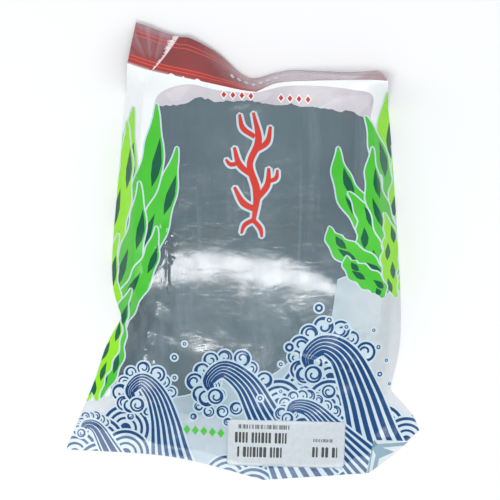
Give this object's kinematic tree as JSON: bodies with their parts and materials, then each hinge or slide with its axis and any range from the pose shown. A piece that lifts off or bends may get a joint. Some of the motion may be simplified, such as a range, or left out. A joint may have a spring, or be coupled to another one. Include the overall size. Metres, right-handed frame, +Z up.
{
  "type": "bag of dried kelp sheets",
  "caption": "Sealed clear printed pouch of flat dried kelp sheets with a folded-over header and a white sticker, lying on its back",
  "frame": {"origin": "On the ground under the centre of the bag's bounding box", "axes": "+X to the right across the front of the bag, +Y from the bottom seal to the header, +Z up out of the printed front"},
  "size_m": [0.2077, 0.2684, 0.0262],
  "materials": {
    "film": "thin clear film with a milky ink, green and blue print and a maroon header, over dark kelp",
    "kelp": "dry dark olive seaweed sheet with a pale dusty bloom",
    "label": "white coated paper sticker with plain grey marks"
  },
  "bodies": {
    "root": {"bag": "film", "label": "label"}
  },
  "joints": []
}
